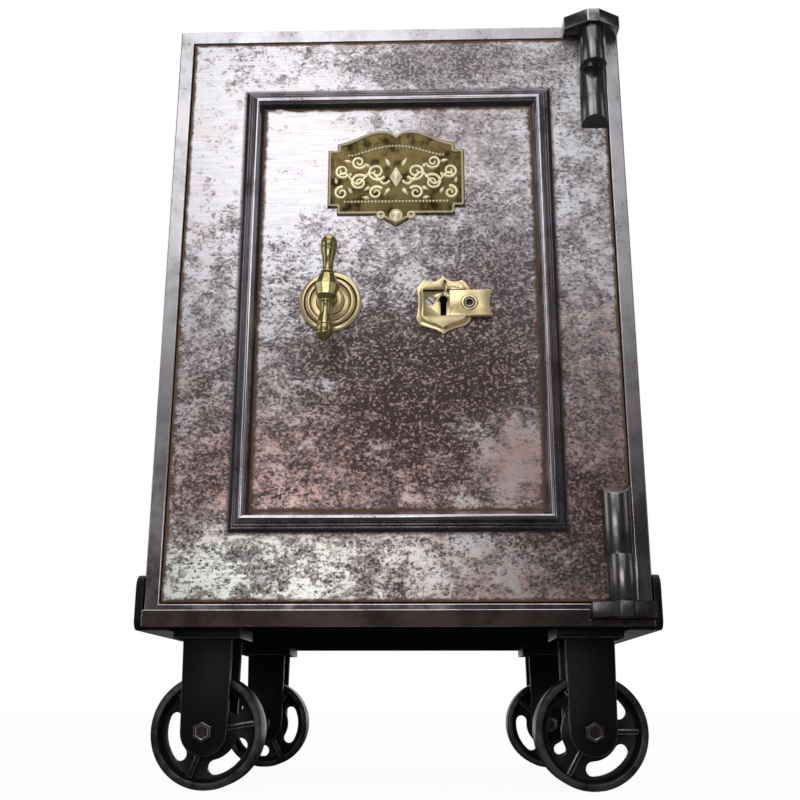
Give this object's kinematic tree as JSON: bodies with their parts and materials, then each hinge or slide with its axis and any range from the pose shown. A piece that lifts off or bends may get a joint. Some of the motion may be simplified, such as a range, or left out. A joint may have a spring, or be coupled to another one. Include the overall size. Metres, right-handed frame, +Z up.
{
  "type": "strongbox",
  "caption": "Upright iron strongbox with a hinged front door, T handle, key lock and brass fittings, standing on a low wheeled trolley.",
  "frame": {"origin": "on the floor, under the middle of the overall length and width", "axes": "+Z up; the door faces -Y; the hinges are on the +X side"},
  "size_m": [0.47, 0.5138, 0.7567],
  "materials": {
    "burnished_iron": "burnished, pitted",
    "frame_iron": "burnished dark",
    "dark_steel": "polished dark",
    "bright_steel": "machined",
    "black_paint": "satin black",
    "wheel_iron": "dark cast",
    "lining_paint": "matt green-grey",
    "handle_brass": "polished, aged",
    "pale_brass": "polished",
    "plate_brass": "antique",
    "fire_filling": "packed, matt"
  },
  "bodies": {
    "case_and_trolley": {"outer_casing": "frame_iron", "front_frame": "frame_iron", "door_jamb": "dark_steel", "back_plate": "frame_iron", "inner_lining": "lining_paint", "fire_filling": "fire_filling", "shelf": "lining_paint", "shelf_batten_left": "dark_steel", "shelf_batten_right": "dark_steel", "hinge_lug_top": "dark_steel", "hinge_lug_bottom": "dark_steel", "hinge_pin_top": "bright_steel", "hinge_pin_bottom": "bright_steel", "side_angle_left": "black_paint", "side_angle_right": "black_paint", "front_rail": "black_paint", "rear_rail": "black_paint", "deck_plate": "black_paint", "fork_front_left": "black_paint", "axle_bolt_front_left": "wheel_iron", "axle_nut_front_left": "wheel_iron", "fork_front_right": "black_paint", "axle_bolt_front_right": "wheel_iron", "axle_nut_front_right": "wheel_iron", "fork_rear_left": "black_paint", "axle_bolt_rear_left": "wheel_iron", "axle_nut_rear_left": "wheel_iron", "fork_rear_right": "black_paint", "axle_bolt_rear_right": "wheel_iron", "axle_nut_rear_right": "wheel_iron"},
    "door": {"door_plate": "burnished_iron", "door_moulding": "dark_steel", "hinge_knuckle_top": "dark_steel", "hinge_knuckle_bottom": "dark_steel", "door_case": "dark_steel", "bolt_space_plate": "dark_steel", "door_filling": "fire_filling", "hinge_side_dog": "bright_steel", "brass_plate": "plate_brass", "handle_rose": "pale_brass", "rack_guide_upper": "dark_steel", "rack_guide_lower": "dark_steel", "lock_case": "bright_steel", "lock_cover": "dark_steel", "escutcheon": "pale_brass", "escutcheon_screw": "bright_steel"},
    "handle": {"t_handle": "handle_brass", "pinion_spindle": "bright_steel"},
    "bolt_work": {"rack_bar": "bright_steel", "bolt_bar": "bright_steel", "bolt_top": "bright_steel", "bolt_middle": "bright_steel", "bolt_bottom": "bright_steel"},
    "lock_bolt": {"lock_bolt": "handle_brass"},
    "sliding_cover": {"sliding_cover": "pale_brass"},
    "catch_button": {"catch_button": "bright_steel"},
    "wheel_front_left": {"wheel_front_left": "wheel_iron"},
    "wheel_front_right": {"wheel_front_right": "wheel_iron"},
    "wheel_rear_left": {"wheel_rear_left": "wheel_iron"},
    "wheel_rear_right": {"wheel_rear_right": "wheel_iron"}
  },
  "joints": [
    {"name": "door_hinge", "type": "hinge", "parent": "case_and_trolley", "child": "door", "pos_m": [0.2, -0.21902, 0.45], "axis": [0, 0, 1], "range_deg": [0, 175]},
    {"name": "handle_turn", "type": "hinge", "parent": "door", "child": "handle", "pos_m": [-0.065, -0.24552, 0.4501], "axis": [0, -1, 0], "range_deg": [0, 90]},
    {"name": "bolt_throw", "type": "slide", "parent": "door", "child": "bolt_work", "axis": [-1, 0, 0], "range_m": [0, 0.02513]},
    {"name": "lock_bolt_lift", "type": "slide", "parent": "door", "child": "lock_bolt", "axis": [0, 0, 1], "range_m": [0, 0.008]},
    {"name": "cover_slide", "type": "slide", "parent": "door", "child": "sliding_cover", "axis": [-1, 0, 0], "range_m": [0, 0.025]},
    {"name": "catch_press", "type": "slide", "parent": "sliding_cover", "child": "catch_button", "axis": [0, 1, 0], "range_m": [0, 0.0015], "stiffness_N_per_m": 400, "springref_m": -0.001},
    {"name": "axle_front_left", "type": "hinge", "parent": "case_and_trolley", "child": "wheel_front_left", "pos_m": [-0.1743, -0.15072, 0.0507], "axis": [0, 1, 0], "continuous": true},
    {"name": "axle_front_right", "type": "hinge", "parent": "case_and_trolley", "child": "wheel_front_right", "pos_m": [0.1743, -0.15072, 0.0507], "axis": [0, 1, 0], "continuous": true},
    {"name": "axle_rear_left", "type": "hinge", "parent": "case_and_trolley", "child": "wheel_rear_left", "pos_m": [-0.1743, 0.20868, 0.0507], "axis": [0, 1, 0], "continuous": true},
    {"name": "axle_rear_right", "type": "hinge", "parent": "case_and_trolley", "child": "wheel_rear_right", "pos_m": [0.1743, 0.20868, 0.0507], "axis": [0, 1, 0], "continuous": true}
  ],
  "couplings": [
    {"joint": "handle_turn", "follows": "bolt_throw", "rad_per_m": 62.5}
  ]
}
